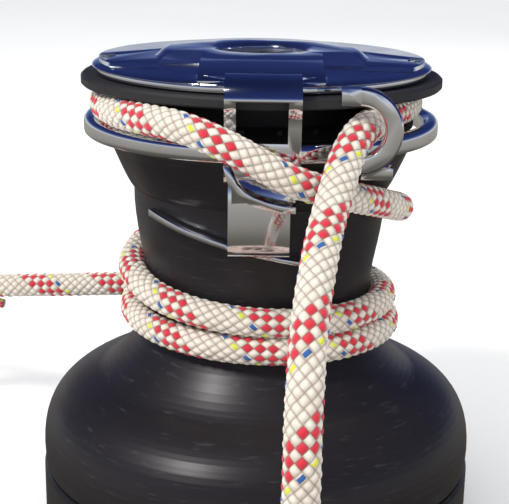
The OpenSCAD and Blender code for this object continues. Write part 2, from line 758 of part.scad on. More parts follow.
module line_standing() {
    color(ROPE) tube(LEAD, line_d / 2, 10);
}

module line_tail() {
    color(ROPE) tube([for (i = [4:len(TAIL) - 1]) TAIL[i]], tail_d / 2, 10);
}

module line_coil() {
    color(ROPE) translate(coil_centre) rotate_extrude() translate([(coil_in_r + coil_out_r) / 2, coil_h / 2])
        square([coil_out_r - coil_in_r, coil_h], center = true);
}

module line_end() {
    color(ROPE) translate([-4, end_y, tail_d / 2]) rotate([0, 90, 0])
        cylinder(h = end_l, d = tail_d, $fn = 24);
}

module tail_whipping() {
    color(ROPE) translate([end_l - 4, end_y, tail_d / 2]) rotate([0, 90, 0])
        cylinder(h = whipping_l, d = tail_d, $fn = 24);
}

module at_eye() {
    translate(LEAD[0]) rotate([0, 0, 167.9]) rotate([0, 5.7, 0]) rotate([90, 0, 0]) children();
}

module eye_splice() {
    color(ROPE) at_eye() rotate([0, 90, 0]) linear_extrude(splice_l) {
        for (y = [-4.6, 4.6]) translate([0, y]) circle(r = 5.2, $fn = 32);
        square([10.4, 9.2], center = true);
    }
}

module eye_loop() {
    path = concat([[splice_l, 4.6, 0], [splice_l + 6, 7.4, 0]],
        [for (a = [140:-20:-140]) [eye_at + eye_r * cos(a), eye_r * sin(a), 0]],
        [[splice_l + 6, -7.4, 0], [splice_l, -4.6, 0]]);
    color(ROPE) at_eye() tube(path, line_d / 2, 10);
}

module eye_thimble() {
    bed_r = eye_r - line_d / 2 - 0.3;
    color(CHROME) at_eye() translate([eye_at, 0, -5.5]) pipe(bed_r, bed_r - 3.4, 11);
}

base();
centre_stem();
stem_screws();
lower_bush();
upper_bush();
idler_shaft_a();
idler_shaft_b();
slow_gear_shaft();
thrust_washer();
bearing_spacer();
feeder_arm();
arm_screws();
top_cap();
cap_screws();
guide_ring();
ring_screws();
saddle_block();
guide_blade();
line_hook();
hook_screw();
drum();
ring_gear();
ring_gear_screws();
jaw_carrier();
carrier_screws();
upper_jaw();
upper_jaw_screws();
jaw_springs();
lower_jaw();
lower_cage();
lower_rollers();
upper_cage();
upper_rollers();
main_spindle();
slow_drive_gear();
fast_pawl_carrier();
fast_pawl_pins();
fast_pawl_springs();
fast_ratchet_gear();
fast_pawl_a();
fast_pawl_b();
idler_gear_a();
idler_gear_b();
slow_ratchet_gear();
slow_pinion();
slow_pawl_pins();
slow_pawl_springs();
slow_pawl_a();
slow_pawl_b();
line_standing();
line_wound();
line_tail();
line_coil();
line_end();
tail_whipping();
eye_splice();
eye_loop();
eye_thimble();
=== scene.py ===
# %% [markdown]
# # A self-tailing winch
# This notebook dresses a sailboat winch: a black drum that turns on a round base, a
# chrome crown that grips the line, and the line itself, wound on and led away. The hard
# parts come ready made as a frame of named nodes. We keep their shapes, soften the edges
# of the polished ones, and build the line, its braid and every finish here.

# %% Load the frame
import json
import math

import bpy
import numpy as np
from mathutils import Matrix, Vector


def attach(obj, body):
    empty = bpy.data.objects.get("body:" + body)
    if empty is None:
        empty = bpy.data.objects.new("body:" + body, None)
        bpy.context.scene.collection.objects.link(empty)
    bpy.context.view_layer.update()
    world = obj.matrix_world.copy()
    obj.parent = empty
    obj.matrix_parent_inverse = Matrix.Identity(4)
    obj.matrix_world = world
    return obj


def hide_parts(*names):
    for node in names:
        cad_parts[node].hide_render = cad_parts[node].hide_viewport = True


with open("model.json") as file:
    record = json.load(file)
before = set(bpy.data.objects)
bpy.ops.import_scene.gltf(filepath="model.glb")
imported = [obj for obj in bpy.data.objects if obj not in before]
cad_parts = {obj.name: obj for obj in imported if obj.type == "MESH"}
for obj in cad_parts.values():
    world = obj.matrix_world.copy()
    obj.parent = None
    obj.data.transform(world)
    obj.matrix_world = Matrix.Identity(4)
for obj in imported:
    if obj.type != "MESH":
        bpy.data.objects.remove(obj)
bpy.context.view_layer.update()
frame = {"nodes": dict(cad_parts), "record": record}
NODES = frame["nodes"]
MM = 0.001

# %% [markdown]
# ## The camera
# The camera comes first, because the line that it can't see has to be coiled up neatly
# beside the winch. It stands a little above the crown, tilted down by 16 degrees. A long
# lens keeps the round parts from stretching, as on a real product shot.

# %% Camera
EYE = Vector((0, -416.08, 216.8)) * MM
PITCH, YAW, ROLL = (math.radians(a) for a in (15.98, -0.21, 0.86))
SENSOR = 36.0
LENS = SENSOR * 1200 / 509


def add_camera():
    ahead = Vector((math.sin(YAW) * math.cos(PITCH), math.cos(YAW) * math.cos(PITCH),
                    -math.sin(PITCH)))
    level = ahead.cross(Vector((0, 0, 1))).normalized()
    above = level.cross(ahead)
    right = math.cos(ROLL) * level + math.sin(ROLL) * above
    up = -math.sin(ROLL) * level + math.cos(ROLL) * above
    data = bpy.data.cameras.new("camera")
    data.sensor_width, data.lens = SENSOR, LENS
    camera = bpy.data.objects.new("camera", data)
    camera.matrix_world = (Matrix.Translation(EYE)
                           @ Matrix((right, up, -ahead)).transposed().to_4x4())
    bpy.context.scene.collection.objects.link(camera)
    bpy.context.scene.camera = camera
    return camera


camera = add_camera()
print("lens", round(camera.data.lens, 1), "mm")

# %% [markdown]
# ## The line's route
# One line runs through the whole winch, so we plan one route and cut it up later: from
# the eye on the left to the drum, twice round it, up over the saddle, round between the
# jaws, out through the hook and down to a coil on the floor. Round the drum the route is
# a list of [angle, radius, height], because a turn is a circle there. A monotone curve
# through these keys never swings past them, which a plain spline would.

# %% Route keys
LEAD = [[-113, 72.8, 60], [-98, 69.6, 61.5], [-44, 58, 67], [10.6, 46.6, 72.6]]
TURNS = [[77, 47.8, 72.6], [0, 46.6, 74.6], [-90, 45.5, 76.9], [-180, 45.2, 79.3],
         [-270, 45.1, 81.7], [-360, 45.1, 84.1], [-450, 45.1, 86.5], [-540, 45.8, 94.5],
         [-630, 47.4, 105], [-720, 49.2, 115.5], [-750, 52, 122], [-775, 58, 129],
         [-788, 64.5, 133.5], [-798, 69.4, 137.4], [-804, 70.2, 140.4],
         [-810, 69.6, 144.4], [-818, 70, 149.6], [-826, 68.2, 152.8], [-835, 65, 154.2],
         [-850, 61.4, 154], [-870, 57.4, 153.6], [-890, 54.4, 153.4], [-920, 52, 153.4],
         [-990, 51, 153.4], [-1105, 51, 153.4]]
TAIL = [[46.2, -21.6, 153.4], [39.5, -36, 153.4], [34.6, -47.5, 153.4],
        [30.6, -57, 152.6], [27.4, -63, 149.6], [24.9, -68, 145], [22.6, -74, 138.5],
        [19.2, -84, 129.5], [16.6, -95, 120.5], [14.6, -105, 110.5], [13.2, -115, 97],
        [12.6, -121, 82], [12.4, -124, 64], [11.4, -124.4, 50]]
COIL_CENTRE = [0, -158]
SLACK_D, LOADED_D = 10.5, 9.4
TOP_LAYER, MIDDLE_LAYER, BOTTOM_LAYER = SLACK_D * 2.5, SLACK_D * 1.5, SLACK_D * 0.5
INNER_TURN, COIL_TURNS, LANDED = 36.6, 3.062, 150


def smooth_between(x, y, wanted):
    """A monotone curve through y at rising x, read at the wanted places."""
    x, y = np.asarray(x, float), np.asarray(y, float)
    step = np.diff(x)
    rise = np.diff(y) / step
    slope = np.concatenate([rise[:1], np.zeros(len(y) - 2), rise[-1:]])
    same_way = rise[:-1] * rise[1:] > 0
    total = np.where(same_way, rise[:-1] + rise[1:], 1)
    slope[1:-1] = np.where(same_way, 2 * rise[:-1] * rise[1:] / total, 0)
    k = np.clip(np.searchsorted(x, wanted, side="right") - 1, 0, len(step) - 1)
    t = (wanted - x[k]) / step[k]
    return ((2 * t**3 - 3 * t**2 + 1) * y[k] + (t**3 - 2 * t**2 + t) * step[k] * slope[k]
            + (3 * t**2 - 2 * t**3) * y[k + 1] + (t**3 - t**2) * step[k] * slope[k + 1])


def round_axis(keys, centre=(0, 0), step=2.0):
    """Points of a route given as [angle, radius, height] about an upright axis."""
    keys = np.array(keys, float)
    way = np.sign(keys[-1, 0] - keys[0, 0])
    angles = np.arange(0, abs(keys[-1, 0] - keys[0, 0]), step)
    x = (keys[:, 0] - keys[0, 0]) * way
    radius = smooth_between(x, keys[:, 1], angles)
    height = smooth_between(x, keys[:, 2], angles)
    turn = np.radians(keys[0, 0] + way * angles)
    return np.stack([centre[0] + radius * np.cos(turn), centre[1] + radius * np.sin(turn),
                     height], axis=1)


def through(points, step=2.0):
    """Points of a smooth route through the given ones."""
    points = np.array(points, float)
    far = np.concatenate([[0], np.cumsum(np.linalg.norm(np.diff(points, axis=0), axis=1))])
    wanted = np.arange(0, far[-1], step)
    return np.stack([smooth_between(far, points[:, i], wanted) for i in range(3)], axis=1)


# %% [markdown]
# The coil lies in three layers, as a tidy deckhand leaves it. The tail lands on the inner
# turn of the top layer and works outwards, drops a layer, works inwards, drops to the
# floor and comes out again. Its whipped end leaves the coil straight, so that it shows.

# %% The coil's keys
def coil_keys():
    outer = INNER_TURN + SLACK_D * COIL_TURNS
    keys = [[80, 34.1, 38.6], [98, 35.0, 31.5], [124, 36.2, 27.6]]
    at = LANDED
    for start, stop, height, hold in ((INNER_TURN, outer, TOP_LAYER, 100),
                                      (outer, INNER_TURN, MIDDLE_LAYER, 120),
                                      (INNER_TURN, outer, BOTTOM_LAYER, 0)):
        keys += [[at + 360 * COIL_TURNS * part, start + (stop - start) * part, height]
                 for part in np.linspace(0, 1, 13)]
        at += 360 * COIL_TURNS + hold
    return keys + [[at + 20, 72, BOTTOM_LAYER], [at + 33, 76, BOTTOM_LAYER],
                   [at + 41, 78.8, BOTTOM_LAYER]]


END_PIECE = [[x, -237.1, SLACK_D / 2] for x in (4, 8, 12, 16)]


def whole_route(spacing=1.0, passes=40):
    """The route from the eye to the end, evenly spaced and relaxed, in millimetres."""
    rough = np.concatenate([
        through(LEAD), round_axis(TURNS), through(TAIL), round_axis(coil_keys(), COIL_CENTRE),
        END_PIECE])
    far = np.concatenate([[0], np.cumsum(np.linalg.norm(np.diff(rough, axis=0), axis=1))])
    even = np.linspace(0, far[-1], int(far[-1] / spacing) + 1)
    route = np.stack([np.interp(even, far, rough[:, i]) for i in range(3)], axis=1)
    for _ in range(passes):
        route[1:-1] += 0.5 * (route[:-2] + route[2:] - 2 * route[1:-1]) * 0.5
    return route


route = whole_route()
route_far = np.concatenate([[0], np.cumsum(np.linalg.norm(np.diff(route, axis=0), axis=1))])


def far_of(point):
    """How far along the route the nearest point to this one is, in millimetres."""
    return route_far[np.argmin(np.linalg.norm(route - np.array(point, float), axis=1))]


DRUM_AT = far_of(LEAD[-1])
SLACK_AT = far_of(TAIL[1])
HANG_AT = far_of(TAIL[4])
FLOOR_AT = far_of([-30, -138, 26])
print("line", round(route_far[-1]), "mm; drum at", round(DRUM_AT), "hook at", round(HANG_AT))

# %% [markdown]
# ## The braid's shape
# A braided line is two families of strands that wind opposite ways and cross over and
# under. With eight crossings round the line, a crossing has two numbers, one for each
# strand. Where their difference is even the first family lies on top. The top strand is a
# small oval hump, so we raise the tube's points there. Real bumps catch the light at the
# line's edge, where a painted pattern would stay flat.

# %% Braid relief
AROUND = 8
CELL = 3.9
SIDES = 48
RELIEF, RELIEF_FADE = 0.62, 40


def humps(column, row):
    """Height from 0 to 1 of the braid at a place, in columns round and rows along it."""
    first, second = column - row, column + row
    on_top = np.mod(np.floor(second) - np.floor(first), 2) < 0.5
    across = np.where(on_top, np.mod(first, 1), np.mod(second, 1))
    along = np.where(on_top, np.mod(second, 1), np.mod(first, 1))
    return np.sin(np.pi * across) ** 0.8 * np.sin(np.pi * along) ** 0.45


def carried_frames(points):
    """Two sideways directions at each point, carried along the route without twist."""
    ahead = np.gradient(points, axis=0)
    ahead /= np.linalg.norm(ahead, axis=1)[:, None]
    side = np.cross(ahead[0], [0, 0, 1.0])
    sides = []
    for t in ahead:
        side = side - side.dot(t) * t
        side = side / np.linalg.norm(side)
        sides.append(side)
    sides = np.array(sides)
    return sides, np.cross(ahead, sides)


def ring_grid(points, far, radius, relief, frames=None):
    """Rings of points about a route, with the braid's humps on them."""
    side, over = frames if frames else carried_frames(points)
    column = np.arange(SIDES) / SIDES * AROUND
    turn = column / AROUND * 2 * np.pi
    row = far[:, None] / CELL
    height = humps(column[None, :] + 0 * row, row + 0 * column[None, :])
    reach = radius[:, None] + relief[:, None] * (height - 0.6)
    return (points[:, None, :] + reach[..., None]
            * (np.cos(turn)[None, :, None] * side[:, None, :]
               + np.sin(turn)[None, :, None] * over[:, None, :]))


# %% [markdown]
# The rings become a mesh with a cap at each end. Its UV map holds the column and the row
# of the braid, so that the colours follow the strands wherever the line bends.

# %% Tube mesh
def tube_mesh(name, rings, far):
    count = len(rings)
    verts = np.concatenate([rings.reshape(-1, 3), rings[:1].mean(axis=1), rings[-1:].mean(axis=1)])
    i = np.repeat(np.arange(count - 1), SIDES)
    k = np.tile(np.arange(SIDES), count - 1)
    after = (k + 1) % SIDES
    quads = np.stack([i * SIDES + k, i * SIDES + after, (i + 1) * SIDES + after,
                      (i + 1) * SIDES + k], axis=1)
    last = (count - 1) * SIDES
    fans = [[count * SIDES, (s + 1) % SIDES, s] for s in range(SIDES)]
    fans += [[count * SIDES + 1, last + s, last + (s + 1) % SIDES] for s in range(SIDES)]
    mesh = bpy.data.meshes.new(name)
    mesh.from_pydata((verts * MM).tolist(), [], quads.tolist() + fans)
    row = far / CELL
    u = np.stack([k, k + 1, k + 1, k], axis=1) / SIDES
    v = np.stack([row[i], row[i], row[i + 1], row[i + 1]], axis=1)
    caps = np.full((len(fans) * 3, 2), 0.0)
    caps[:, 1] = row[0]
    uv = np.concatenate([np.stack([u, v], axis=2).reshape(-1, 2), caps])
    layer = mesh.uv_layers.new(name="braid")
    layer.data.foreach_set("uv", uv.astype(np.float32).ravel())
    mesh.polygons.foreach_set("use_smooth", np.ones(len(mesh.polygons), bool))
    mesh.update()
    piece = bpy.data.objects.new(name, mesh)
    bpy.context.scene.collection.objects.link(piece)
    print(name, len(mesh.polygons), "faces")
    return piece


ROUTE_FRAMES = carried_frames(route)


def at_far(values, far):
    return np.stack([np.interp(far, route_far, values[:, j]) for j in range(3)], axis=1)


def line_piece(name, start, end, fine=0.75, coarse=2.1, coarse_from=None):
    """A stretch of the route as a braided tube; the step is coarse past a place."""
    coarse_from = end if coarse_from is None else coarse_from
    fine_part = np.arange(start, coarse_from, fine)
    coarse_part = np.arange(coarse_from, end, coarse) if coarse_from < end else []
    far = np.concatenate([fine_part, coarse_part, [end]])
    points = at_far(route, far)
    frames = [at_far(f, far) for f in ROUTE_FRAMES]
    slack = np.clip((far - SLACK_AT) / (HANG_AT + 10 - SLACK_AT), 0, 1)
    radius = (LOADED_D + (SLACK_D - LOADED_D) * slack) / 2
    fade = np.clip((far - coarse_from) / RELIEF_FADE, 0, 1) if coarse_from < end else 0 * far
    relief = RELIEF * (1 - fade)
    piece = tube_mesh(name, ring_grid(points, far, radius, relief, frames), far)
    return piece, points * MM


standing, standing_path = line_piece("line_loaded", 0, DRUM_AT)
wound, _ = line_piece("line_on_drum", DRUM_AT, HANG_AT)
tail, tail_path = line_piece("line_tail_coiled", HANG_AT, route_far[-1], coarse_from=FLOOR_AT)

# %% [markdown]
# ## The eye
# The loaded end carries a spliced eye with a steel thimble in it, which a shackle would
# go through. The loop is the same line bent round the thimble; its end lies back along
# the line and both are bound with twine. It's out of the camera's sight, but a model is
# looked at from all sides.

# %% Eye loop
EYE_TURN = (Matrix.Translation(Vector(LEAD[0])) @ Matrix.Rotation(math.radians(167.9), 4, "Z")
            @ Matrix.Rotation(math.radians(5.7), 4, "Y")
            @ Matrix.Rotation(math.radians(90), 4, "X"))
EYE_AT, EYE_R, SPLICE_L = 43, 15.5, 19


def in_eye(points):
    return np.array([EYE_TURN @ Vector(p) for p in points])


def eye_path():
    bend = [[EYE_AT + EYE_R * math.cos(math.radians(a)), EYE_R * math.sin(math.radians(a)), 0]
            for a in range(136, -137, -8)]
    end = SPLICE_L
    return through([[-0.5, 0, 0], [6, 2.6, 0], [13, 4.9, 0], [end + 2, 5.4, 0], [end + 6, 7.4, 0]]
                   + bend + [[end + 6, -7.4, 0], [end + 2, -5.4, 0], [13, -5.2, 0],
                             [4, -6.4, 0], [-4, -8.3, 0]], 0.8)


loop_points = in_eye(eye_path())
loop_far = -np.concatenate([[0], np.cumsum(np.linalg.norm(np.diff(loop_points, axis=0), axis=1))])
loop_radius = LOADED_D / 2 * np.clip((loop_far - loop_far[-1]) / 14, 0.15, 1) ** 0.5
eye_line = tube_mesh("eye_loop_line", ring_grid(
    loop_points, loop_far, loop_radius, 0.5 + 0 * loop_far), loop_far)

# %% [markdown]
# The thimble is a steel gutter bent into a ring. We draw the gutter's section as a small
# flat shape and spin it round the eye's own axis; the two ends meet, so the doubled
# points are merged and the faces turned outwards again.


# %% Small helpers for work in edit mode
def only(piece):
    """Deselects everything else and makes this piece the active one."""
    if bpy.context.mode != "OBJECT":
        bpy.ops.object.mode_set(mode="OBJECT")
    bpy.ops.object.select_all(action="DESELECT")
    piece.select_set(True)
    bpy.context.view_layer.objects.active = piece


def tidy_mesh(piece, gap=1e-5):
    """Merges doubled points and turns the faces outwards."""
    only(piece)
    bpy.ops.object.mode_set(mode="EDIT")
    bpy.ops.mesh.select_all(action="SELECT")
    bpy.ops.mesh.remove_doubles(threshold=gap)
    bpy.ops.mesh.normals_make_consistent(inside=False)
    bpy.ops.object.mode_set(mode="OBJECT")


def settle(piece):
    """Puts the object's own place into its mesh, as the frame's nodes have it."""
    only(piece)
    bpy.ops.object.transform_apply(location=True, rotation=True, scale=True)


def spun_section(name, section, centre, axis, first, steps=96):
    """Spins a closed section, a list of (outwards, along) in millimetres, full circle."""
    axis, first = Vector(axis).normalized(), Vector(first).normalized()
    ring = [Vector(centre) + first * r + axis * h for r, h in section]
    mesh = bpy.data.meshes.new(name)
    edges = [(i, (i + 1) % len(ring)) for i in range(len(ring))]
    mesh.from_pydata([v * MM for v in ring], edges, [])
    piece = bpy.data.objects.new(name, mesh)
    bpy.context.scene.collection.objects.link(piece)
    only(piece)
    bpy.ops.object.mode_set(mode="EDIT")
    bpy.ops.mesh.select_all(action="SELECT")
    bpy.ops.mesh.spin(steps=steps, angle=2 * math.pi, center=Vector(centre) * MM, axis=axis)
    bpy.ops.object.mode_set(mode="OBJECT")
    tidy_mesh(piece)
    only(piece)
    bpy.ops.object.shade_smooth_by_angle(angle=math.radians(35))
    print(name, len(piece.data.polygons), "faces")
    return piece


# %% Thimble
eye_axis = EYE_TURN.to_3x3() @ Vector((0, 0, 1))
eye_out = EYE_TURN.to_3x3() @ Vector((1, 0, 0))
GUTTER_R, GUTTER_WALL = 5.0, 1.1


def gutter_section():
    """The thimble's section: a half-round gutter that holds the line, with a wall."""
    bed = EYE_R - GUTTER_R - 0.3
    groove = [(bed + GUTTER_R * (1 - math.cos(a)), -GUTTER_R * math.sin(a))
              for a in np.radians(np.linspace(62, -62, 13))]
    wall = [(bed - GUTTER_WALL + (GUTTER_R + GUTTER_WALL) * (1 - math.cos(a)),
             -(GUTTER_R + GUTTER_WALL) * math.sin(a)) for a in np.radians(np.linspace(-58, 58, 13))]
    return groove + wall


thimble = spun_section("thimble_gutter", gutter_section(),
                       EYE_TURN @ Vector((EYE_AT, 0, 0)), eye_axis, eye_out)

# %% [markdown]
# The binding is one length of twine, wrapped tight. Each turn is a bead on the surface,
# so the sleeve is a stack of soft rings: an oval one round the two lines of the eye, and
# a round one on the line's free end.


# %% Twine bindings
def bound_sleeve(name, place, length, half_wide, radius, twine=1.0, sides=40):
    """A sleeve of twine turns along +X of a place, oval by twice half_wide."""
    steps = int(length / twine * 8)
    rings = []
    for s in range(steps + 1):
        x = length * s / steps
        bead = abs(math.sin(math.pi * x / twine)) ** 0.7
        edge = min(1.0, min(x, length - x) / 0.5)
        grow = radius - 1.0 + edge * (0.65 + 0.35 * bead)
        ring = []
        for k in range(sides):
            a = 2 * math.pi * k / sides
            across = math.cos(a)
            shift = math.copysign(half_wide * min(1, abs(across) * 3), across)
            ring.append(place @ Vector((x, grow * across + shift, grow * math.sin(a))))
        rings.append(ring)
    verts = [v * MM for ring in rings for v in ring]
    faces = [[i * sides + k, i * sides + (k + 1) % sides, (i + 1) * sides + (k + 1) % sides,
              (i + 1) * sides + k] for i in range(steps) for k in range(sides)]
    faces += [list(range(sides)), [steps * sides + k for k in range(sides)]]
    mesh = bpy.data.meshes.new(name)
    mesh.from_pydata(verts, [], faces)
    piece = bpy.data.objects.new(name, mesh)
    bpy.context.scene.collection.objects.link(piece)
    tidy_mesh(piece)
    only(piece)
    bpy.ops.object.shade_smooth_by_angle(angle=math.radians(60))
    print(name, len(mesh.polygons), "faces")
    return piece


splice = bound_sleeve("splice_binding", EYE_TURN @ Matrix.Translation((7, 0, 0)), 13, 5.0, 5.9)
END_AT = Vector((14.5, -237.1, SLACK_D / 2))
whipping = bound_sleeve("end_whipping", Matrix.Translation(END_AT), 11.5, 0, 5.7)
end_line = bound_sleeve("end_stub", Matrix.Translation(END_AT), 12.4, 0, 5.2, twine=40)

# %% [markdown]
# ## Softened edges on the polished parts
# Polished metal shows its edges as bright lines, because a real edge is a tiny radius
# that always faces some light. The frame's nodes have dead sharp edges, so a copy of each
# polished one is merged, cleared of needless edges, bevelled by a fraction of a
# millimetre and shaded smooth. The copy then stands for its node.


# %% Soft copies
def softened(node, width, angle=33, segments=2):
    source = NODES[node]
    piece = source.copy()
    piece.data = source.data.copy()
    piece.name = piece.data.name = node + "_polished"
    piece.parent = None
    piece.matrix_world = Matrix.Identity(4)
    bpy.context.scene.collection.objects.link(piece)
    only(piece)
    bpy.ops.mesh.customdata_custom_splitnormals_clear()
    bpy.ops.object.mode_set(mode="EDIT")
    bpy.ops.mesh.select_all(action="SELECT")
    bpy.ops.mesh.remove_doubles(threshold=2e-6)
    bpy.ops.mesh.dissolve_limited(angle_limit=math.radians(0.6))
    bpy.ops.object.mode_set(mode="OBJECT")
    soft = piece.modifiers.new("soft edge", "BEVEL")
    soft.width, soft.segments = width * MM, segments
    soft.limit_method, soft.angle_limit = "ANGLE", math.radians(angle)
    bpy.ops.object.modifier_apply(modifier=soft.name)
    bpy.ops.object.shade_smooth_by_angle(angle=math.radians(28))
    print(piece.name, len(piece.data.polygons), "faces")
    return piece


POLISHED = {"feeder_arm": 0.9, "top_cap": 0.5, "guide_ring": 0.5, "saddle_block": 0.5,
            "guide_blade": 0.25, "line_hook": 0.5}
soft_parts = {node: softened(node, width) for node, width in POLISHED.items()}

# %% [markdown]
# ## A pen for shader graphs
# Shader maths is easier to read as Python. A Value wraps a node's socket, and adding or
# multiplying two of them adds a Math node. Any other node comes from one method that
# takes its type, its settings and its inputs.


# %% Value and Graph
class Value:
    def __init__(self, graph, socket):
        self.graph, self.socket = graph, socket

    def __add__(self, other):
        return self.graph.math("ADD", self, other)

    def __sub__(self, other):
        return self.graph.math("SUBTRACT", self, other)

    def __rsub__(self, other):
        return self.graph.math("SUBTRACT", other, self)

    def __mul__(self, other):
        return self.graph.math("MULTIPLY", self, other)

    def __pow__(self, other):
        return self.graph.math("POWER", self, other)

    def __gt__(self, other):
        return self.graph.math("GREATER_THAN", self, other)

    def __lt__(self, other):
        return self.graph.math("LESS_THAN", self, other)

    def __mod__(self, other):
        return self.graph.math("FLOORED_MODULO", self, other)

    __radd__, __rmul__ = __add__, __mul__


class Graph:
    def __init__(self, tree):
        self.tree = tree

    def node(self, kind, settings=None, inputs=None, out=0):
        """Adds a node of this type. Settings come first, then values or links."""
        made = self.tree.nodes.new(kind)
        for key, value in (settings or {}).items():
            if key == "stops":
                while len(made.color_ramp.elements) < len(value):
                    made.color_ramp.elements.new(1.0)
                for element, (place, colour) in zip(made.color_ramp.elements, value):
                    element.position, element.color = place, colour
            else:
                setattr(made, key, value)
        for key, value in (inputs or {}).items():
            if isinstance(value, Value):
                self.tree.links.new(value.socket, made.inputs[key])
            else:
                made.inputs[key].default_value = value
        return Value(self, made.outputs[out])

    def math(self, operation, first, second=0.0, third=0.0):
        return self.node("ShaderNodeMath", {"operation": operation},
                         {0: first, 1: second, 2: third})

    def mix(self, factor, first, second):
        """A colour between two, each four numbers or a Value."""
        return self.node("ShaderNodeMix", {"data_type": "RGBA"},
                         {0: factor, 6: first, 7: second}, out=2)

    def place(self, stretch=(1, 1, 1)):
        where = self.node("ShaderNodeTexCoord", out="Object")
        return self.node("ShaderNodeMapping", None, {"Vector": where, "Scale": stretch})

    def noise(self, scale, detail=4.0, stretch=(1, 1, 1), rough=0.55):
        return self.node("ShaderNodeTexNoise", None, {
            "Vector": self.place(stretch), "Scale": scale, "Detail": detail, "Roughness": rough})

    def bump(self, height, strength, distance):
        return self.node("ShaderNodeBump", None, {
            "Strength": strength, "Distance": distance, "Height": height})


def finish_named(name, fixed):
    """A new material with its main shader's constants set, and the pen for its graph."""
    material = bpy.data.materials.new(name)
    material.use_nodes = True
    shader = material.node_tree.nodes["Principled BSDF"]
    for key, value in fixed.items():
        shader.inputs[key].default_value = value
    return material, Graph(material.node_tree), shader


def feed(graph, shader, **links):
    """Links values to the main shader: base, rough or normal."""
    names = {"base": "Base Color", "rough": "Roughness", "normal": "Normal"}
    for key, value in links.items():
        graph.tree.links.new(value.socket, shader.inputs[names[key]])


# %% [markdown]
# ## The line's finish
# The colours use the same two strand numbers as the humps. Of the first family's eight
# strands three are red and one is a tracer with yellow and blue yarns; the other family
# is all cream. So the red shows as checks in slanting bands. The gaps between the
# strands get painted shade, a darker brown colour, and fine yarn lines run along each hump.

# %% Braided line
CREAM, CREAM_DULL = (0.80, 0.74, 0.65, 1), (0.58, 0.50, 0.41, 1)
RED, RED_FADED = (0.56, 0.007, 0.028, 1), (0.68, 0.04, 0.065, 1)
# The last colour here is painted shade for the gaps between the strands.
BLUE, YELLOW, PAINTED_GAP_SHADE = (0.02, 0.10, 0.32, 1), (0.62, 0.66, 0.05, 1), (0.20, 0.15, 0.12, 1)
LAST_RED, TRACER_FROM = 2.5, 6.5


def braided_line():
    material, g, shader = finish_named("braided_line", {
        "Sheen Weight": 0.25, "Sheen Roughness": 0.5, "Specular IOR Level": 0.3})
    uv = g.node("ShaderNodeUVMap", {"uv_map": "braid"})
    split = g.node("ShaderNodeSeparateXYZ", None, {0: uv})
    row = Value(g, split.socket.node.outputs[1])
    column = split * float(AROUND)
    first, second = column - row, column + row
    first_no, second_no = g.math("FLOOR", first), g.math("FLOOR", second)
    crossing = second_no - first_no
    over = (crossing % 2.0) < 0.5
    first_in, second_in = first - first_no, second - second_no
    across = second_in + over * (first_in - second_in)
    along = first_in + over * (second_in - first_in)
    dome = g.math("SINE", across * math.pi)
    hump = (dome ** 0.8) * (g.math("SINE", along * math.pi) ** 0.45)
    group = first_no % float(AROUND)
    red = over * (group < LAST_RED)
    thin = (across > 0.26) * (across < 0.78) * (along > 0.06) * (along < 0.94)
    tracer = over * (group > TRACER_FROM) * thin
    bluish = ((crossing * 0.5) % 2.0) < 0.5
    worn = g.noise(160, 3)
    yarns = g.math("SINE", across * (2 * math.pi * 5) + worn * 3.0)
    cream = g.mix(worn * worn * 1.3, CREAM, CREAM_DULL)
    dyed = g.mix(worn * 0.7, RED, RED_FADED)
    colour = g.mix(red, cream, dyed)
    colour = g.mix(tracer, colour, g.mix(bluish, YELLOW, BLUE))
    # Painted shade: the colour darkens towards dark brown in the gaps between the strand humps.
    colour = g.mix((1 - hump) ** 2.4 * 0.85, colour, PAINTED_GAP_SHADE)
    height = hump + yarns * 0.06
    feed(g, shader, base=colour, rough=0.86 - hump * 0.2 + worn * 0.1,
         normal=g.bump(height, 0.75, 0.0007))
    return material


line_finish = braided_line()

# %% [markdown]
# ## Metals and plastics
# Chrome is nearly a mirror: what makes it look real is what it reflects, plus a faint
# haze of handling marks in its roughness. The drum is hard anodised aluminium, a dark
# charcoal with a satin skin and very fine turning lines. The jaws are moulded and matt.
# Steel, bronze and nylon sit inside, each with its own grain.


# %% Chrome
def chrome():
    material, g, shader = finish_named("polished_chrome", {
        "Metallic": 1.0, "Specular IOR Level": 0.5})
    haze, marks = g.noise(38, 5), g.noise(900, 2, (1, 1, 6))
    tone = g.mix(haze, (0.70, 0.72, 0.76, 1), (0.86, 0.87, 0.90, 1))
    feed(g, shader, base=tone, rough=0.045 + haze * haze * 0.13 + marks * 0.03,
         normal=g.bump(g.noise(60, 2), 0.04, 0.001))
    return material


# %% Anodised black
def anodised():
    material, g, shader = finish_named("black_anodised", {
        "Metallic": 0.3, "Specular IOR Level": 0.4, "Coat Weight": 0.1, "Coat Roughness": 0.3})
    cloud, lines = g.noise(24, 5), g.noise(3.0, 3, (1, 1, 900))
    scuff = g.math("MAXIMUM", g.noise(120, 6, (1, 1, 9)) - 0.60, 0.0)
    tone = g.mix(cloud, (0.014, 0.0125, 0.0145, 1), (0.027, 0.024, 0.028, 1))
    tone = g.mix(scuff * 1.6, tone, (0.16, 0.155, 0.165, 1))
    feed(g, shader, base=tone, rough=0.33 + cloud * 0.12 + scuff * 0.8,
         normal=g.bump(lines + cloud * 0.2, 0.10, 0.0003))
    return material


# %% Matt moulded plastic, for the jaws
def moulded(name, dark, light, rough, grain):
    material, g, shader = finish_named(name, {"Specular IOR Level": 0.45})
    speck, cloud = g.noise(1400, 2), g.noise(40, 4)
    feed(g, shader, base=g.mix(cloud, dark, light), rough=rough + speck * 0.12,
         normal=g.bump(speck, grain, 0.0002))
    return material


# %% Turned and cut metals
def turned(name, dark, light, rough, stretch=(1, 1, 14)):
    material, g, shader = finish_named(name, {"Metallic": 1.0})
    grain, cloud = g.noise(240, 4, stretch), g.noise(30, 4)
    feed(g, shader, base=g.mix(cloud, dark, light), rough=rough + grain * 0.14,
         normal=g.bump(grain, 0.12, 0.0002))
    return material


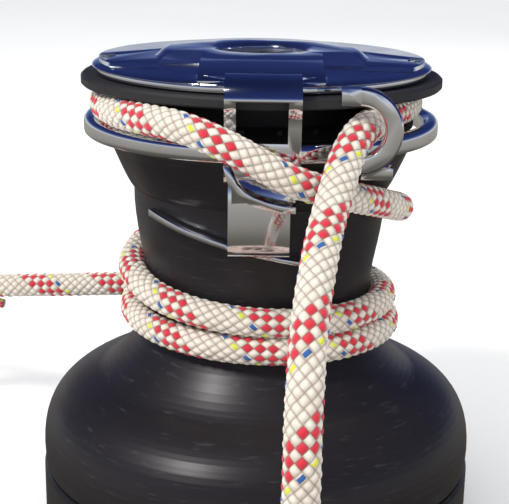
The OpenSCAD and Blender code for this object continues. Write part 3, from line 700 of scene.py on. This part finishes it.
# %% Twine
def waxed_twine():
    material, g, shader = finish_named("whipping_twine", {"Sheen Weight": 0.2})
    fibre, cloud = g.noise(700, 4, (1, 5, 1)), g.noise(90, 3)
    feed(g, shader, base=g.mix(cloud, (0.50, 0.44, 0.33, 1), (0.78, 0.73, 0.62, 1)),
         rough=0.62 + fibre * 0.2, normal=g.bump(fibre, 0.5, 0.0003))
    return material


FINISHES = {
    "polished_chrome": chrome(),
    "black_anodised": anodised(),
    "jaw_composite": moulded("jaw_composite", (0.012, 0.012, 0.013, 1),
                             (0.030, 0.030, 0.032, 1), 0.50, 0.35),
    "bearing_nylon": moulded("bearing_nylon", (0.62, 0.60, 0.54, 1),
                             (0.78, 0.76, 0.70, 1), 0.42, 0.2),
    "stainless_steel": turned("stainless_steel", (0.48, 0.49, 0.51, 1),
                              (0.64, 0.65, 0.67, 1), 0.22),
    "spindle_steel": turned("spindle_steel", (0.42, 0.43, 0.45, 1),
                            (0.60, 0.61, 0.63, 1), 0.26),
    "gear_bronze": turned("gear_bronze", (0.50, 0.32, 0.13, 1),
                          (0.70, 0.49, 0.24, 1), 0.28),
    "braided_line": line_finish,
    "whipping_twine": waxed_twine(),
}
print(len(FINISHES), "finishes")

# %% Dress the frame's nodes
SLOT_OF = {part["node"]: part["material_slot"] for part in frame["record"]["subparts"]}


def dress(piece, slot_name):
    piece.data.materials.clear()
    piece.data.materials.append(FINISHES[slot_name])


for name, node in NODES.items():
    for place in node.material_slots:
        place.material = FINISHES[SLOT_OF[name]]
for name, piece in soft_parts.items():
    dress(piece, SLOT_OF[name])
for piece in (standing, wound, tail, eye_line, end_line):
    dress(piece, "braided_line")
for piece in (splice, whipping):
    dress(piece, "whipping_twine")
dress(thimble, "stainless_steel")

# %% [markdown]
# ## What each piece rides on and stands for
# Everything new belongs to the parts that don't turn: the line is held by the jaws' grip
# and by its load, and the crown is fixed to the stem.

# %% Riding and replacing
FIXED = "fixed_frame"
STANDS_FOR = [
    (standing, "braided_line", ["line_standing"]),
    (wound, "braided_line", ["line_wound"]),
    (tail, "braided_line", ["line_tail", "line_coil", "line_end"]),
    (eye_line, "braided_line", ["eye_loop"]),
    (splice, "whipping_twine", ["eye_splice"]),
    (whipping, "whipping_twine", ["tail_whipping"]),
    (end_line, "braided_line", []),
    (thimble, "stainless_steel", ["eye_thimble"]),
]
STANDS_FOR += [(piece, "polished_chrome", [node]) for node, piece in soft_parts.items()]
for piece, slot_name, nodes in STANDS_FOR:
    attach(piece, FIXED)
    if nodes:
        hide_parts(*nodes)

def length_of(path):
    return float(np.linalg.norm(np.diff(path, axis=0), axis=1).sum())


print("loaded part", round(length_of(standing_path), 3), "tail", round(length_of(tail_path), 3))

# %% [markdown]
# ## Floor and light
# A plain pale floor and two soft lights. Chrome needs something to mirror, so the world
# that glossy rays see grades from a pale horizon to a deep blue overhead, as outdoors on
# a boat, while everything else gets plain white light.


# %% Floor
def add_floor():
    bpy.ops.object.select_all(action="DESELECT")
    bpy.ops.mesh.primitive_plane_add(size=12, location=(0, 0, -0.0002))
    floor = bpy.context.object
    floor.name = "floor"
    settle(floor)
    material, g, shader = finish_named("pale_floor", {"Specular IOR Level": 0.2})
    cloud = g.noise(3, 3)
    feed(g, shader, base=g.mix(cloud, (0.90, 0.90, 0.90, 1), (0.94, 0.94, 0.94, 1)),
         rough=0.7 + cloud * 0.1)
    floor.data.materials.append(material)
    floor.visible_glossy = False


add_floor()


# %% World
def add_world():
    world = bpy.data.worlds.new("studio")
    world.use_nodes = True
    bpy.context.scene.world = world
    g = Graph(world.node_tree)
    background = world.node_tree.nodes["Background"]
    where = g.node("ShaderNodeTexCoord", out="Generated")
    split = g.node("ShaderNodeSeparateXYZ", None, {0: where})
    height = Value(g, split.socket.node.outputs[2])
    sky = g.node("ShaderNodeValToRGB", {"stops": [
        (0.0, (0.05, 0.045, 0.04, 1)), (0.30, (0.13, 0.12, 0.10, 1)),
        (0.37, (0.30, 0.28, 0.245, 1)), (0.47, (0.42, 0.40, 0.37, 1)),
        (0.505, (0.72, 0.76, 0.82, 1)), (0.53, (0.17, 0.23, 0.44, 1)),
        (0.60, (0.02, 0.035, 0.145, 1)), (1.0, (0.006, 0.012, 0.06, 1))]}, {0: height * 0.5 + 0.5})
    glossy = g.node("ShaderNodeLightPath", out="Is Glossy Ray")
    seen = g.mix(glossy, (0.97, 0.98, 1.0, 1), sky)
    world.node_tree.links.new(seen.socket, background.inputs["Color"])
    background.inputs["Strength"].default_value = 1.0


add_world()


# %% Lights
def soft_light(name, place, aim, size, power, colour=(1, 1, 1), glossy=True):
    data = bpy.data.lights.new(name, "AREA")
    data.shape, data.size, data.size_y = "RECTANGLE", size[0], size[1]
    data.energy, data.color = power, colour
    light = bpy.data.objects.new(name, data)
    light.location = place
    light.rotation_euler = (Vector(aim) - Vector(place)).to_track_quat("-Z", "Y").to_euler()
    light.visible_glossy = glossy
    bpy.context.scene.collection.objects.link(light)
    return light


CENTRE = (0, 0, 0.09)
soft_light("key", (-0.75, -0.75, 1.25), CENTRE, (0.28, 0.28), 16, (1, 0.98, 0.95))
soft_light("rim", (0.5, 1.3, 0.9), CENTRE, (0.9, 0.5), 3, glossy=False)
bpy.context.scene.view_settings.view_transform = "Standard"
